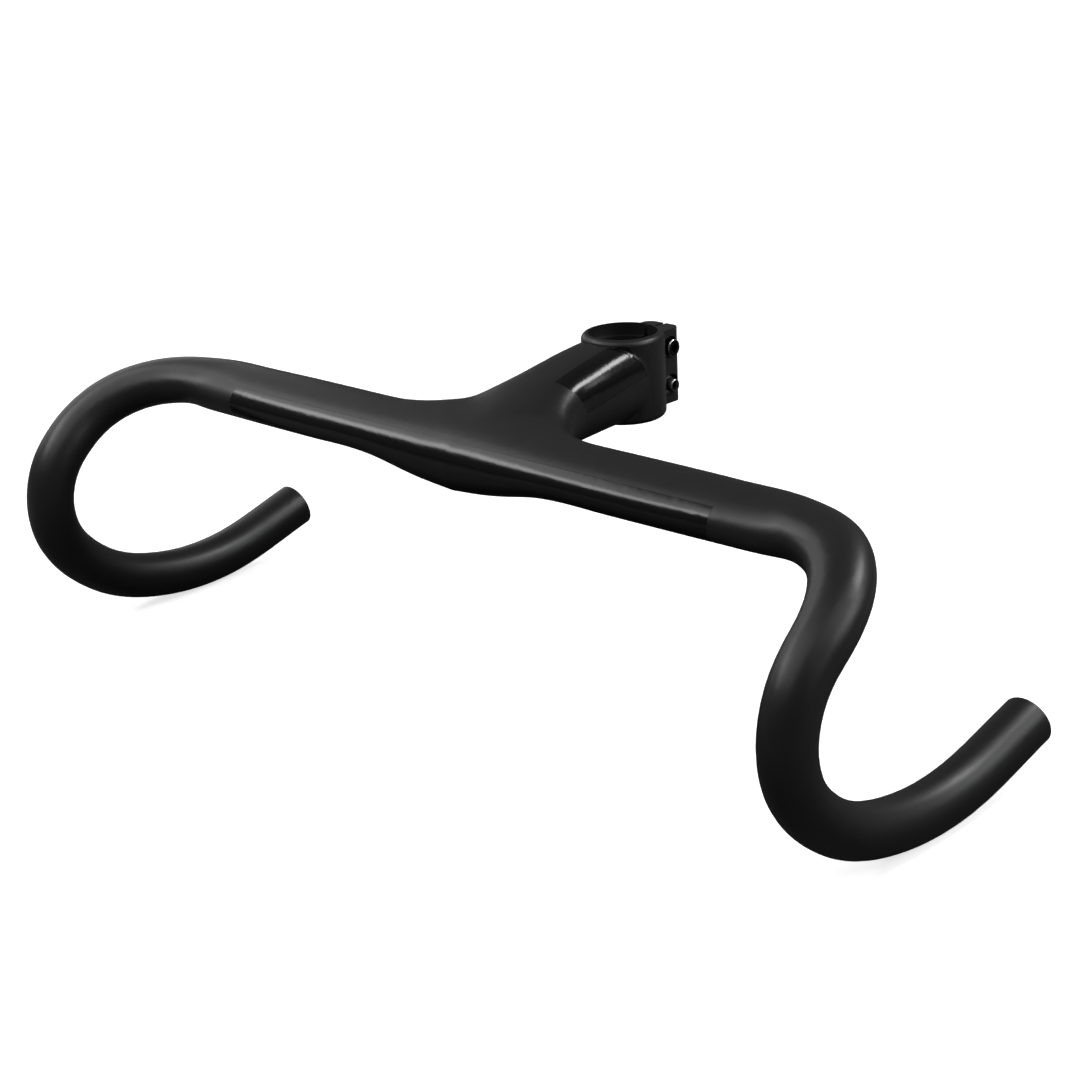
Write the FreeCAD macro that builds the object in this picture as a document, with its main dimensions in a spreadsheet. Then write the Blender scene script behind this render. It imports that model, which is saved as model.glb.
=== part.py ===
"""Integrated handlebar and stem for a road bicycle: one hollow carbon moulding and its clamp hardware.

Frame: the origin is on the steerer clamp's axis at the clamp's bottom face, +Z runs up the steerer,
+Y runs forward along the stem and +X is the rider's right. Sizes are in millimetres and degrees.
"""
import FreeCAD
import Part
import Sketcher
import os
from collections import namedtuple
from math import atan, cos, degrees, pi, radians, sin, tan

V = FreeCAD.Vector

# Lengths this small count as none when an edge is picked by its place.
SAME_PLACE = 0.001

# Driving sizes: each is one cell of the sheet, under this alias.
SIZES = {
    # clamp on the steerer
    "steerer_bore": 28.7,
    "clamp_height": 42.0,
    "clamp_radius": 20.3,
    "clamp_round": 3.0,
    "cap_recess": 34.0,
    "cap_recess_depth": 6.0,
    "ear_back": 31.0,
    "ear_half_width": 10.4,
    "ear_margin": 2.5,
    "ear_round": 5.0,
    "pinch_slot": 2.0,
    # pinch bolts, lying across the clamp behind the steerer, from opposite sides
    "pinch_back": 23.0,
    "pinch_low": 11.5,
    "pinch_pitch": 19.0,
    "pinch_thread": 5.0,
    "pinch_length": 18.0,
    "pinch_head": 8.5,
    "pinch_head_height": 5.0,
    "pinch_key": 4.0,
    "pinch_key_depth": 2.8,
    "seat_out": 7.0,
    "seat_across": 11.0,
    "washer_across": 9.6,
    "washer_thick": 0.8,
    "nut_across": 6.4,
    "nut_sunk": 3.8,
    "nut_proud": 6.0,
    "nut_flange": 8.4,
    "nut_flange_thick": 1.2,
    "small_chamfer": 0.4,
    "fit_clearance": 0.06,
    "bolt_clearance": 0.3,
    # cover under the nose, over the place for a computer mount
    "cover_behind_bar": 2.0,
    "cover_wide": 26.0,
    "cover_deep": 14.0,
    "cover_thick": 2.0,
    "cover_corner": 3.0,
    "cover_pitch": 17.0,
    "cover_screw": 3.0,
    "cover_screw_head": 5.5,
    "cover_screw_sink": 1.5,
    "cover_screw_length": 7.0,
    "cover_key": 2.0,
    "cover_key_depth": 1.2,
    "insert_across": 4.6,
    "insert_end": 7.5,
    "boss_wall": 2.4,
    # cable ways
    "exit_forward": 26.0,
    "exit_wide": 22.0,
    "exit_across": 10.0,
    "exit_top": 10.0,
    "hose_port": 8.0,
    # stem
    "stem_length": 106.0,
    "stem_fall": 11.6,
    "stem_half_width": 21.2,
    "stem_depth_rear": 42.0,
    "stem_depth_front": 28.4,
    "flare_radius": 44.0,
    "stem_wall": 2.8,
    "stem_tuck": 0.5,
    "stem_arch": 3.0,
    "stem_squareness": 3.0,
    # wing of the bar
    "wing_chord": 34.0,
    "wing_thickness": 18.5,
    "wing_squareness": 2.6,
    "wing_end": 180.5,
    "taper_start": 100.0,
    "taper_end": 310.0,
    "wall": 2.2,
    # drops: tangent arcs walked from the end of the wing
    "corner_radius": 55.5,
    "flare_angle": 0.9,
    "corner_lift": 2.7,
    "ramp_radius": 124.5,
    "ramp_turn": 44.5,
    "front_radius": 41.0,
    "front_turn": 88.0,
    "hook_radius": 81.0,
    "hook_turn": 32.7,
    "lower_radius": 145.5,
    "lower_turn": 33.0,
    "end_straight": 33.5,
    "tube": 23.8,
    "plug_bore": 19.8,
    "plug_depth": 24.0,
}


def make_sheet(doc):
    """Puts every driving size in one sheet, each cell under its own alias."""
    sheet = doc.addObject("Spreadsheet::Sheet", "sizes")
    for row, (alias, value) in enumerate(SIZES.items(), start=1):
        sheet.set(f"A{row}", alias)
        sheet.set(f"B{row}", str(value))
        sheet.setAlias(f"B{row}", alias)
    doc.recompute()
    return sheet


class Sizes:
    """The sheet's values by their aliases, for the shapes that are worked out by formula."""

    def __init__(self, sheet):
        for alias in SIZES:
            setattr(self, alias, float(getattr(sheet, alias)))


def smooth(low, high, value):
    """A step from 0 at low to 1 at high with level ends."""
    share = min(max((value - low) / (high - low), 0.0), 1.0)
    return share * share * (3 - 2 * share)


def section_curve(centre, chord_way, up_way, half_chord, half_depth, squareness, points_round=20):
    """A closed smooth section: a superellipse that is round at 2 and squarer above."""
    points = []
    for k in range(points_round):
        turn = 2 * pi * k / points_round
        reach = (abs(cos(turn)) ** squareness + abs(sin(turn)) ** squareness) ** (-1 / squareness)
        along = chord_way * (reach * cos(turn) * half_chord)
        above = up_way * (reach * sin(turn) * half_depth)
        points.append(centre + along + above)
    steps = [k / points_round for k in range(points_round + 1)]
    curve = Part.BSplineCurve()
    curve.interpolate(Points=points, PeriodicFlag=True, Parameters=steps)
    return curve


def skin_over(curves, places):
    """One smooth skin through closed sections, closed flat at both ends, as a solid."""
    steps = [0.0]
    for before, after in zip(places[:-1], places[1:]):
        steps.append(steps[-1] + before.distanceToPoint(after))
    steps = [step / steps[-1] for step in steps]
    rails = []
    for row in zip(*[curve.getPoles() for curve in curves]):
        rail = Part.BSplineCurve()
        rail.interpolate(Points=list(row), Parameters=steps)
        rails.append(rail)
    poles = [list(column) for column in zip(*[rail.getPoles() for rail in rails])]
    along, around = rails[0], curves[0]
    surface = Part.BSplineSurface()
    surface.buildFromPolesMultsKnots(
        poles,
        along.getMultiplicities(),
        around.getMultiplicities(),
        along.getKnots(),
        around.getKnots(),
        False,
        True,
        along.Degree,
        around.Degree,
    )
    ends = [Part.Face(Part.Wire([surface.uIso(step).toShape()])) for step in (0.0, 1.0)]
    shell = Part.Shell([surface.toShape()] + ends)
    shell.sewShape()
    solid = Part.Solid(shell)
    if solid.Volume < 0:
        solid.reverse()
    return solid


class Station:
    """One section of the skin: its centre, its two ways across, its half sizes and its squareness."""

    def __init__(self, centre, chord_way, up_way, half_chord, half_depth, squareness):
        self.centre = centre
        self.chord_way = chord_way
        self.up_way = up_way
        self.half_chord = half_chord
        self.half_depth = half_depth
        self.squareness = squareness

    def curve(self, inset):
        """The section's closed curve, drawn in by the thickness of the wall."""
        half_chord = self.half_chord - inset
        half_depth = self.half_depth - inset
        ways = self.chord_way, self.up_way
        return section_curve(self.centre, *ways, half_chord, half_depth, self.squareness)


def top_height(size, forward):
    """Height of the top line that the stem and the wing share, at a distance forward."""
    share = forward / size.stem_length
    arch = 4 * size.stem_arch * share * (1 - share)
    return size.clamp_height - forward * tan(radians(size.stem_fall)) + arch


def stem_depth(size, forward):
    """Depth of the stem from its top plane to its belly."""
    share = min(max(forward / size.stem_length, 0.0), 1.0)
    return size.stem_depth_rear + share * (size.stem_depth_front - size.stem_depth_rear)


def flare_centre(size):
    """Plan centre of the arc that sweeps the stem's side into the wing's rear edge."""
    across = size.stem_half_width + size.flare_radius
    forward = size.stem_length - size.wing_chord / 2 - size.flare_radius
    return across, forward


def stem_stations(size, start, sections=4):
    """Sections square to the stem, from the start to where its side begins to flare."""
    forward_end = flare_centre(size)[1]
    stations = []
    for k in range(sections):
        forward = start + (forward_end - start) * k / sections
        half_depth = stem_depth(size, forward) / 2
        centre = V(0, forward, top_height(size, forward) - half_depth)
        ways = V(-1, 0, 0), V(0, 0, 1)
        rear_share = 1 - smooth(0, forward_end, forward)
        widening = size.clamp_radius - size.stem_tuck - size.stem_half_width
        half_width = size.stem_half_width + widening * rear_share
        half_depth -= size.stem_tuck * rear_share
        stations.append(Station(centre, *ways, half_width, half_depth, size.stem_squareness))
    return stations


def flare_stations(size, sections=9, blend=12, thinning_from=42):
    """Sections that turn about the flare's centre, from square to the stem to square to the wing.

    Each reaches to its mirror image or to the leading edge, whichever is nearer, with a soft change
    between the two, and gets as thin as the wing over the last part of the turn.
    """
    across, forward = flare_centre(size)
    fall = tan(radians(size.stem_fall))
    to_leading_edge = size.flare_radius + size.wing_chord
    stations = []
    for k in range(sections):
        turn = radians(90) * k / sections
        mirrored = 2 * across / cos(turn) - size.flare_radius
        reach = mirrored
        if k:
            straight = to_leading_edge / sin(turn)
            reach = (mirrored ** -blend + straight ** -blend) ** (-1 / blend)
        middle = (size.flare_radius + reach) / 2
        at_middle_plane = forward + across * tan(turn)
        deep = stem_depth(size, at_middle_plane)
        share = smooth(radians(thinning_from), radians(90), turn)
        half_depth = (deep + share * (size.wing_thickness - deep)) / 2
        way = V(-cos(turn), sin(turn), -sin(turn) * fall)
        centre_forward = forward + middle * sin(turn)
        height = top_height(size, centre_forward) - half_depth
        centre = V(across - middle * cos(turn), centre_forward, height)
        half_chord = (reach - size.flare_radius) / 2
        squareness = size.stem_squareness + share * (size.wing_squareness - size.stem_squareness)
        stations.append(Station(centre, way, V(0, 0, 1), half_chord, half_depth, squareness))
    return stations


def wing_centre(size):
    """Middle of the wing's section, under the shared top plane."""
    return V(0, size.stem_length, top_height(size, size.stem_length) - size.wing_thickness / 2)


def wing_stations(size, sections=5):
    """Sections of the straight wing, from the flare to the corner."""
    start = flare_centre(size)[0]
    fall = tan(radians(size.stem_fall))
    stations = []
    for k in range(sections):
        across = start + (size.wing_end - start) * k / sections
        centre = wing_centre(size) + V(across, 0, 0)
        stations.append(bar_station(size, centre, V(0, 1, -fall), V(0, 0, 1), across))
    return stations


def bar_station(size, centre, chord_way, up_way, along):
    """A section of the bar, flat like a wing at first and round from the corner on."""
    share = smooth(size.taper_start, size.taper_end, along)
    half_chord = (size.wing_chord + share * (size.tube - size.wing_chord)) / 2
    half_depth = (size.wing_thickness + share * (size.tube - size.wing_thickness)) / 2
    squareness = size.wing_squareness + share * (2 - size.wing_squareness)
    return Station(centre, chord_way, up_way, half_chord, half_depth, squareness)


Arc = namedtuple("Arc", "length turn sections")


def drop_arcs(size, extra):
    """The ramp, the drop and its straight end: length, turn in radians and how many sections each gets."""
    ramp, front, hook, lower = (
        radians(turn) for turn in (size.ramp_turn, size.front_turn, size.hook_turn, size.lower_turn)
    )
    return [
        Arc(size.ramp_radius * ramp, ramp, sections=7),
        Arc(size.front_radius * front, front, sections=6),
        Arc(size.hook_radius * hook, hook, sections=3),
        Arc(size.lower_radius * lower, lower, sections=5),
        Arc(size.end_straight + extra, 0.0, sections=2),
    ]


def drop_stations(size, extra=0.0, steps_each=8):
    """Sections walked along the corner, the ramp and the drop, on arcs that meet tangent."""
    plan_end = radians(90 - size.flare_angle)
    fall = -radians(size.corner_lift)
    place = wing_centre(size) + V(size.wing_end, 0, 0)
    chord_way = V(0, 1, -tan(radians(size.stem_fall))).normalize()
    gone = 0.0
    stations = []
    stations.append(bar_station(size, place, chord_way, V(0, 0, 1), size.wing_end))
    for arc in drop_arcs(size, extra):
        steps = arc.sections * steps_each
        step = arc.length / steps
        for k in range(steps):
            middle = gone + step / 2
            plan = min(middle / size.corner_radius, plan_end)
            dip = fall + arc.turn * (k + 0.5) / steps
            way = V(cos(plan), sin(plan) * cos(dip), -sin(plan) * sin(dip))
            place = place + way * step
            chord_way = (chord_way - way * chord_way.dot(way)).normalize()
            gone += step
            if (k + 1) % steps_each == 0:
                up_way = way.cross(chord_way).normalize()
                stations.append(bar_station(size, place, chord_way, up_way, size.wing_end + gone))
        fall += arc.turn
    return stations


def right_skin(size, start, inset, extra):
    """The right half's skin as one loft from the stem to the drop's end, cut on the middle plane."""
    stations = stem_stations(size, start) + flare_stations(size) + wing_stations(size)
    stations += drop_stations(size, extra)
    curves = [station.curve(inset) for station in stations]
    solid = skin_over(curves, [station.centre for station in stations])
    span = 2 * (size.wing_end + size.stem_length)
    keep = Part.makeBox(span, 2 * span, 2 * span, V(0, -span, -span))
    return solid.common(keep)


def whole_skin(size, start, inset, extra):
    """Both halves of the skin in one solid."""
    right = right_skin(size, start, inset, extra)
    left = right.mirror(V(0, 0, 0), V(1, 0, 0))
    return right.fuse(left)


def bind(item, name, expression):
    """Ties one property of an object to the sheet."""
    item.setExpression(name, expression)


def place(item, across="0", forward="0", up="0", rotation=None):
    """Puts an object at a place worked out from the sheet."""
    if rotation is not None:
        item.Placement = FreeCAD.Placement(V(0, 0, 0), rotation)
    bind(item, "Placement.Base.x", across)
    bind(item, "Placement.Base.y", forward)
    bind(item, "Placement.Base.z", up)


def laid_out(side):
    """The turn that lays a piece's own Z outwards, to the right at side 1 and to the left at -1."""
    return FreeCAD.Rotation(V(0, 0, 1), V(side, 0, 0))


def cylinder(doc, name, radius, length, across="0", forward="0", up="0", rotation=None):
    """A cylinder along its own Z, with its radius, length and place tied to the sheet."""
    item = doc.addObject("Part::Cylinder", name)
    bind(item, "Radius", radius)
    bind(item, "Height", length)
    place(item, across, forward, up, rotation)
    return item


def box(doc, name, wide, deep, tall, across="0", forward="0", up="0", rotation=None):
    """A box from its low corner, with its sizes and place tied to the sheet."""
    item = doc.addObject("Part::Box", name)
    bind(item, "Length", wide)
    bind(item, "Width", deep)
    bind(item, "Height", tall)
    place(item, across, forward, up, rotation)
    return item


def fuse(doc, name, items):
    """Several solids joined in one."""
    item = doc.addObject("Part::MultiFuse", name)
    item.Shapes = items
    return item


def cut(doc, name, base, tool):
    """One solid less another."""
    item = doc.addObject("Part::Cut", name)
    item.Base = base
    item.Tool = tool
    return item


def rounded(doc, name, base, radius, wanted):
    """A solid with the wanted edges rounded."""
    doc.recompute()
    edges = [k for k, edge in enumerate(base.Shape.Edges, start=1) if wanted(edge)]
    item = doc.addObject("Part::Fillet", name)
    item.Base = base
    item.Edges = [(k, radius, radius) for k in edges]
    return item


def is_upright(edge):
    """A straight edge along Z."""
    return edge.Curve.TypeId == "Part::GeomLine" and abs(edge.Curve.Direction.z) > 1 - SAME_PLACE


def is_ring(edge):
    """A round edge."""
    return edge.Curve.TypeId == "Part::GeomCircle"


def skin_feature(doc, name, shape):
    """A free-form solid kept in the document."""
    item = doc.addObject("Part::Feature", name)
    item.Shape = shape
    return item


def clamp_outside(doc, size):
    """The round barrel of the clamp and the two ears behind it, before the bore and the slot."""
    barrel = cylinder(doc, "clamp_barrel", "sizes.clamp_radius", "sizes.clamp_height")
    barrel_rounded = rounded(doc, "clamp_barrel_rounded", barrel, size.clamp_round, is_ring)
    ears = box(
        doc,
        "clamp_ears",
        "2 * sizes.ear_half_width",
        "sizes.ear_back",
        "sizes.clamp_height - 2 * sizes.ear_margin",
        "-sizes.ear_half_width",
        "-sizes.ear_back",
        "sizes.ear_margin",
    )
    back = size.ear_back
    ears_rounded = rounded(
        doc,
        "clamp_ears_rounded",
        ears,
        size.ear_round,
        lambda edge: is_upright(edge) and abs(edge.CenterOfMass.y + back) < SAME_PLACE,
    )
    return [barrel_rounded, ears_rounded]


def clamp_cutters(doc):
    """The steerer's bore, the recess for the top cap and the slot that lets the clamp close."""
    bore = cylinder(
        doc,
        "steerer_bore",
        "sizes.steerer_bore / 2",
        "2 * sizes.clamp_height",
        up="-sizes.clamp_round",
    )
    recess = cylinder(
        doc,
        "cap_recess",
        "sizes.cap_recess / 2",
        "2 * sizes.cap_recess_depth",
        up="sizes.clamp_height - sizes.cap_recess_depth",
    )
    slot = box(
        doc,
        "pinch_slot",
        "sizes.pinch_slot",
        "sizes.ear_back + sizes.clamp_round",
        "sizes.clamp_height + 2 * sizes.clamp_round",
        "-sizes.pinch_slot / 2",
        "-sizes.ear_back - sizes.clamp_round",
        "-sizes.clamp_round",
    )
    return [bore, recess, slot]


def pinch_level(name):
    """Height of one of the two pinch bolts."""
    return "sizes.pinch_low" if name == "lower" else "sizes.pinch_low + sizes.pinch_pitch"


PINCH_SIDES = {"upper": -1, "lower": 1}


def pinch_cutters(doc):
    """For each pinch bolt: a flat seat on both ears, a clear hole for the shank and one for the nut."""
    cutters = []
    reach = "sizes.clamp_radius"
    for name, side in PINCH_SIDES.items():
        level = pinch_level(name)
        head_way, nut_way = laid_out(side), laid_out(-side)
        back = "-sizes.pinch_back"
        for part, way, sign in (("head", head_way, side), ("nut", nut_way, -side)):
            seat = f"{sign} * sizes.seat_out"
            cutters.append(
                cylinder(doc, f"{part}_seat_{name}", "sizes.seat_across / 2", reach, seat, back, level, way)
            )
        shank = "sizes.pinch_thread / 2 + sizes.bolt_clearance"
        cutters.append(cylinder(doc, f"shank_hole_{name}", shank, reach, "0", back, level, head_way))
        sleeve = "sizes.nut_across / 2 + sizes.fit_clearance"
        cutters.append(cylinder(doc, f"nut_hole_{name}", sleeve, reach, "0", back, level, nut_way))
    return cutters


def ring_edges_at(shape, height):
    """Names of the round edges at one height, for a fillet or a chamfer."""
    names = []
    for k, edge in enumerate(shape.Edges, start=1):
        if is_ring(edge) and abs(edge.CenterOfMass.z - height) < SAME_PLACE:
            names.append((f"Edge{k}", edge.Curve.Radius))
    return names


def new_body(doc, name):
    """An empty body under the node's own name."""
    body = doc.addObject("PartDesign::Body", name)
    body.Label = name
    return body


def flat_sketch(body, name):
    """A sketch on the body's own level plane."""
    sketch = body.newObject("Sketcher::SketchObject", name)
    plane = next(item for item in body.Origin.OriginFeatures if item.Role == "XY_Plane")
    sketch.AttachmentSupport = [(plane, "")]
    sketch.MapMode = "FlatFace"
    return sketch


def circle(sketch, radius):
    """A circle about a sketch's origin, its radius tied to the sheet."""
    index = sketch.addGeometry(Part.Circle(V(0, 0, 0), V(0, 0, 1), 1.0))
    sketch.addConstraint(Sketcher.Constraint("Coincident", index, 3, -1, 1))
    size_at = sketch.addConstraint(Sketcher.Constraint("Radius", index, 1.0))
    sketch.setExpression(f"Constraints[{size_at}]", radius)


def hexagon(sketch, across_flats):
    """A hexagon about the origin, its width across the flats tied to the sheet."""
    guide = sketch.addGeometry(Part.Circle(V(0, 0, 0), V(0, 0, 1), 2.0), True)
    sketch.addConstraint(Sketcher.Constraint("Coincident", guide, 3, -1, 1))
    size_at = sketch.addConstraint(Sketcher.Constraint("Radius", guide, 2.0))
    sketch.setExpression(f"Constraints[{size_at}]", f"({across_flats}) / 2 / cos(30 deg)")
    corners = [V(2 * cos(radians(60 * k)), 2 * sin(radians(60 * k)), 0) for k in range(6)]
    sides = []
    for k in range(6):
        sides.append(sketch.addGeometry(Part.LineSegment(corners[k], corners[(k + 1) % 6])))
    for k in range(6):
        sketch.addConstraint(Sketcher.Constraint("Coincident", sides[k], 2, sides[(k + 1) % 6], 1))
        sketch.addConstraint(Sketcher.Constraint("PointOnObject", sides[k], 1, guide))
    for k in range(1, 6):
        sketch.addConstraint(Sketcher.Constraint("Equal", sides[0], sides[k]))
    sketch.addConstraint(Sketcher.Constraint("PointOnObject", sides[0], 1, -1))


def pad(body, sketch, name, length, backwards=False):
    """A sketch given a thickness tied to the sheet."""
    feature = body.newObject("PartDesign::Pad", name)
    feature.Profile = sketch
    bind(feature, "Length", length)
    feature.Reversed = backwards
    return feature


def pocket(doc, body, sketch, name, depth):
    """A sketch sunk into the body to a depth tied to the sheet."""
    feature = body.newObject("PartDesign::Pocket", name)
    feature.Profile = sketch
    bind(feature, "Length", depth)
    doc.recompute()
    return feature


def chamfer_ring(doc, body, name, height, amount):
    """A small chamfer round the widest ring at one height."""
    doc.recompute()
    base = body.Tip
    widest_ring = max(ring_edges_at(base.Shape, height), key=lambda ring: ring[1])
    feature = body.newObject("PartDesign::Chamfer", name)
    feature.Base = (base, [widest_ring[0]])
    bind(feature, "Size", amount)
    doc.recompute()
    return feature


def pinch_bolt(doc, name, level_name):
    """A socket-head bolt: its head stands on the washer and its shank crosses the slot."""
    side = PINCH_SIDES[level_name]
    body = new_body(doc, name)
    head = flat_sketch(body, f"{name}_head_outline")
    circle(head, "sizes.pinch_head / 2")
    pad(body, head, f"{name}_head", "sizes.pinch_head_height")
    shank = flat_sketch(body, f"{name}_shank_outline")
    circle(shank, "sizes.pinch_thread / 2")
    pad(body, shank, f"{name}_shank", "sizes.pinch_length", backwards=True)
    chamfer_ring(doc, body, f"{name}_head_edge", doc.sizes.pinch_head_height, "sizes.small_chamfer")
    chamfer_ring(doc, body, f"{name}_tip_edge", -doc.sizes.pinch_length, "sizes.small_chamfer")
    key = flat_sketch(body, f"{name}_key_outline")
    bind(key, "AttachmentOffset.Base.z", "sizes.pinch_head_height")
    hexagon(key, "sizes.pinch_key")
    pocket(doc, body, key, f"{name}_key", "sizes.pinch_key_depth")
    stand = f"{side} * (sizes.seat_out + sizes.washer_thick)"
    place(body, stand, "-sizes.pinch_back", pinch_level(level_name), laid_out(side))
    return body


def pinch_washer(doc, name, level_name):
    """A flat washer between the bolt's head and its seat on the ear."""
    side = PINCH_SIDES[level_name]
    body = new_body(doc, name)
    outline = flat_sketch(body, f"{name}_outline")
    circle(outline, "sizes.washer_across / 2")
    circle(outline, "sizes.pinch_thread / 2 + sizes.bolt_clearance")
    pad(body, outline, f"{name}_ring", "sizes.washer_thick")
    stand = f"{side} * sizes.seat_out"
    place(body, stand, "-sizes.pinch_back", pinch_level(level_name), laid_out(side))
    return body


def pinch_nut(doc, name, level_name):
    """A sleeve nut sunk in the far ear, held by its flange, open at its outer end."""
    side = -PINCH_SIDES[level_name]
    body = new_body(doc, name)
    sunk = flat_sketch(body, f"{name}_sunk_outline")
    circle(sunk, "sizes.nut_across / 2")
    pad(body, sunk, f"{name}_sunk", "sizes.nut_sunk", backwards=True)
    flange = flat_sketch(body, f"{name}_flange_outline")
    circle(flange, "sizes.nut_flange / 2")
    pad(body, flange, f"{name}_flange", "sizes.nut_flange_thick")
    proud = flat_sketch(body, f"{name}_proud_outline")
    circle(proud, "sizes.nut_across / 2")
    pad(body, proud, f"{name}_proud", "sizes.nut_proud")
    chamfer_ring(doc, body, f"{name}_edge", doc.sizes.nut_proud, "sizes.small_chamfer")
    thread = flat_sketch(body, f"{name}_thread_outline")
    bind(thread, "AttachmentOffset.Base.z", "sizes.nut_proud")
    circle(thread, "sizes.pinch_thread / 2 + sizes.fit_clearance")
    pocket(doc, body, thread, f"{name}_thread", "sizes.nut_proud + 2 * sizes.nut_sunk")
    stand = f"{side} * sizes.seat_out"
    place(body, stand, "-sizes.pinch_back", pinch_level(level_name), laid_out(side))
    return body


def nose_place(size, item, across="0"):
    """Puts an object on the nose's underside: its own Z runs into the bar, square to the belly."""
    forward = "(sizes.stem_length - sizes.cover_behind_bar)"
    share = f"({forward} / sizes.stem_length)"
    top = f"sizes.clamp_height - {forward} * tan(sizes.stem_fall * 1 deg)"
    arch = f"4 * sizes.stem_arch * {share} * (1 - {share})"
    depth = f"sizes.stem_depth_rear + {share} * (sizes.stem_depth_front - sizes.stem_depth_rear)"
    place(item, across, forward, f"{top} + {arch} - ({depth})", belly_turn(size))


def belly_turn(size):
    """The turn that lays a level piece along the nose's underside."""
    share = (size.stem_length - size.cover_behind_bar) / size.stem_length
    arch_slope = 4 * size.stem_arch * (1 - 2 * share) / size.stem_length
    depth_slope = (size.stem_depth_front - size.stem_depth_rear) / size.stem_length
    slope = arch_slope - tan(radians(size.stem_fall)) - depth_slope
    return FreeCAD.Rotation(V(1, 0, 0), degrees(atan(slope)))


def nose_block(doc, size, name, wide, deep, tall, low, corner):
    """A block with round corners that stands square on the nose's underside."""
    body = new_body(doc, name)
    outline = flat_sketch(body, f"{name}_outline")
    bind(outline, "AttachmentOffset.Base.z", low)
    corners = [V(-1, -1, 0), V(1, -1, 0), V(1, 1, 0), V(-1, 1, 0)]
    sides = [outline.addGeometry(Part.LineSegment(corners[k], corners[(k + 1) % 4])) for k in range(4)]
    for k in range(4):
        outline.addConstraint(Sketcher.Constraint("Coincident", sides[k], 2, sides[(k + 1) % 4], 1))
        outline.addConstraint(Sketcher.Constraint("Vertical" if k % 2 else "Horizontal", sides[k]))
    outline.addConstraint(Sketcher.Constraint("Symmetric", sides[0], 1, sides[2], 1, -1, 1))
    wide_at = outline.addConstraint(Sketcher.Constraint("DistanceX", sides[0], 1, sides[0], 2, 2.0))
    deep_at = outline.addConstraint(Sketcher.Constraint("DistanceY", sides[1], 1, sides[1], 2, 2.0))
    outline.setExpression(f"Constraints[{wide_at}]", wide)
    outline.setExpression(f"Constraints[{deep_at}]", deep)
    pad(body, outline, f"{name}_pad", tall)
    doc.recompute()
    base = body.Tip
    edges = [f"Edge{k}" for k, edge in enumerate(base.Shape.Edges, start=1) if is_upright(edge)]
    fillet = body.newObject("PartDesign::Fillet", f"{name}_corners")
    fillet.Base = (base, edges)
    bind(fillet, "Radius", corner)
    nose_place(size, body)
    return body


COVER_SIDES = {"left": -1, "right": 1}


def cover_across(side):
    """How far a cover screw stands from the middle plane."""
    return f"{side} * sizes.cover_pitch / 2"


def cone(doc, size, name, low_radius, high_radius, tall, across):
    """A cone on the nose's underside, its wide end outwards."""
    item = doc.addObject("Part::Cone", name)
    bind(item, "Radius1", low_radius)
    bind(item, "Radius2", high_radius)
    bind(item, "Height", tall)
    nose_place(size, item, across)
    return item


def nose_cylinder(doc, size, name, radius, length, across):
    """A cylinder that runs into the bar from the nose's underside."""
    item = doc.addObject("Part::Cylinder", name)
    bind(item, "Radius", radius)
    bind(item, "Height", length)
    nose_place(size, item, across)
    return item


def mount_cover(doc, size):
    """The plate that closes the nose's pocket, with a countersunk hole at each end."""
    wide, deep, thick = "sizes.cover_wide", "sizes.cover_deep", "sizes.cover_thick"
    plate = nose_block(doc, size, "cover_plate", wide, deep, thick, "0 mm", "sizes.cover_corner")
    cutters = []
    for name, side in COVER_SIDES.items():
        across = cover_across(side)
        hole = "sizes.cover_screw / 2 + sizes.bolt_clearance"
        through = "2 * sizes.cover_thick"
        cutters.append(nose_cylinder(doc, size, f"cover_hole_{name}", hole, through, across))
        wide_end = "sizes.cover_screw_head / 2 + sizes.fit_clearance"
        narrow_end = "sizes.cover_screw / 2 + sizes.fit_clearance"
        cutters.append(
            cone(doc, size, f"cover_sink_{name}", wide_end, narrow_end, "sizes.cover_screw_sink", across)
        )
    item = cut(doc, "mount_cover", plate, fuse(doc, "cover_cutters", cutters))
    item.Label = "mount_cover"
    return item


def cover_screw(doc, size, name, side):
    """A countersunk screw that holds one end of the cover."""
    across = cover_across(side)
    head = cone(
        doc,
        size,
        f"{name}_head",
        "sizes.cover_screw_head / 2",
        "sizes.cover_screw / 2",
        "sizes.cover_screw_sink",
        across,
    )
    radius = "sizes.cover_screw / 2"
    shank = nose_cylinder(doc, size, f"{name}_shank", radius, "sizes.cover_screw_length", across)
    key = doc.addObject("Part::Prism", f"{name}_key")
    key.Polygon = 6
    bind(key, "Circumradius", "sizes.cover_key / 2 / cos(30 deg)")
    bind(key, "Height", "sizes.cover_key_depth")
    nose_place(size, key, across)
    item = cut(doc, name, fuse(doc, f"{name}_solid", [head, shank]), key)
    item.Label = name
    return item


def cover_insert(doc, size, name, side):
    """The threaded sleeve bonded into the nose for one cover screw."""
    across = cover_across(side)
    radius = "sizes.insert_across / 2"
    sleeve = nose_cylinder(doc, size, f"{name}_sleeve", radius, "sizes.insert_end", across)
    plate = "sizes.cover_thick"
    hole_radius = "sizes.cover_screw / 2 + sizes.fit_clearance"
    hole = nose_cylinder(doc, size, f"{name}_thread", hole_radius, "2 * sizes.insert_end", across)
    trim = nose_block(
        doc,
        size,
        f"{name}_trim",
        "2 * sizes.cover_wide",
        "2 * sizes.cover_deep",
        f"2 * {plate}",
        f"-{plate}",
        "sizes.cover_corner",
    )
    item = cut(doc, name, sleeve, fuse(doc, f"{name}_cutters", [hole, trim]))
    item.Label = name
    return item


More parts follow.
